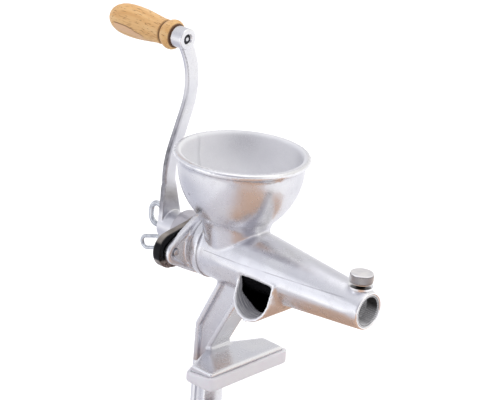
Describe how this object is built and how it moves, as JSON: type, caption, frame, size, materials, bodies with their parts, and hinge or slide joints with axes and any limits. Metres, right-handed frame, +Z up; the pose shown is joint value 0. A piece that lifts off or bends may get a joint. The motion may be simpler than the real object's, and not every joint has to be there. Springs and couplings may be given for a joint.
{
  "type": "hand crank juice press",
  "caption": "Table-clamped hand-cranked screw press with a round hopper, tapered barrel, juice spout, pulp nozzle and a crank with a turned wooden grip.",
  "frame": {"origin": "on the table top plane, which is the underside of the jaw's plastic cap, straight under the middle of the hopper", "axes": "+X along the barrel towards the nozzle, +Y away from the spout's mouth, +Z up"},
  "size_m": [0.2821, 0.104, 0.393],
  "materials": {
    "tinned_casting": "hot-tinned cast skin, satin, with fine pits and soft streaks",
    "tinned_crank": "hot-tinned cast bar, satin, worn brighter on its edges",
    "dark_casting": "dark smooth casting with a gloss",
    "auger_iron": "tinned cast worm, dull inside the barrel",
    "bright_steel": "turned bright steel",
    "strainer_steel": "thin punched steel sheet",
    "plated_wire": "bright plated wire and washers",
    "nickel": "nickel plated, knurled head",
    "clamp_steel": "zinc plated steel, cut thread",
    "bush_bronze": "plain bearing bronze",
    "seal_rubber": "soft black seal",
    "grip_wood": "turned beech, thin varnish",
    "white_plastic": "soft white boot, slightly see-through"
  },
  "bodies": {
    "frame": {"body_casting": "tinned_casting", "jaw_cap": "white_plastic", "juice_strainer": "strainer_steel", "nozzle_liner": "bright_steel", "rear_cover": "dark_casting", "bearing_bush": "bush_bronze", "shaft_seal": "seal_rubber", "cover_eye_screw_near": "plated_wire", "cover_eye_screw_far": "plated_wire", "cover_washers": "plated_wire"},
    "crank": {"auger": "auger_iron", "thrust_washer": "bright_steel", "crank_arm": "tinned_crank", "crank_washer": "plated_wire", "crank_eye_screw": "plated_wire", "grip_pin": "bright_steel"},
    "grip": {"wooden_grip": "grip_wood"},
    "pressure_washer": {"pressure_screw_washer": "nickel"},
    "pressure_screw": {"pressure_screw": "nickel"},
    "clamp_pad": {"clamp_pad": "bright_steel", "clamp_pad_cap": "white_plastic"},
    "clamp_screw": {"clamp_screw": "clamp_steel", "pad_rivet": "bright_steel"},
    "clamp_bar": {"clamp_bar": "clamp_steel", "clamp_bar_knobs": "clamp_steel"}
  },
  "joints": [
    {"name": "crank_turn", "type": "hinge", "parent": "frame", "child": "crank", "pos_m": [0, 0, 0.0961], "axis": [1, 0, 0], "continuous": true},
    {"name": "grip_spin", "type": "hinge", "parent": "crank", "child": "grip", "pos_m": [-0.1, 0, 0.2488], "axis": [1, 0, 0], "continuous": true},
    {"name": "pressure_washer_lift", "type": "slide", "parent": "frame", "child": "pressure_washer", "axis": [0, 0, 1], "range_m": [-0.0005, 0.006]},
    {"name": "pressure_screw_turn", "type": "hinge", "parent": "pressure_washer", "child": "pressure_screw", "pos_m": [0.124, 0, 0.115], "axis": [0, 0, 1], "range_deg": [0, 1800]},
    {"name": "clamp_pad_slide", "type": "slide", "parent": "frame", "child": "clamp_pad", "axis": [0, 0, 1], "range_m": [-0.01, 0.026]},
    {"name": "clamp_screw_turn", "type": "hinge", "parent": "clamp_pad", "child": "clamp_screw", "pos_m": [0.01, 0, -0.06], "axis": [0, 0, 1], "range_deg": [-900, 2340]},
    {"name": "clamp_bar_slide", "type": "slide", "parent": "clamp_screw", "child": "clamp_bar", "axis": [0, 1, 0], "range_m": [-0.022, 0.022]}
  ],
  "couplings": [
    {"joint": "pressure_washer_lift", "follows": "pressure_screw_turn", "m_per_rad": 0.00015915},
    {"joint": "clamp_pad_slide", "follows": "clamp_screw_turn", "m_per_rad": 0.00063661}
  ]
}
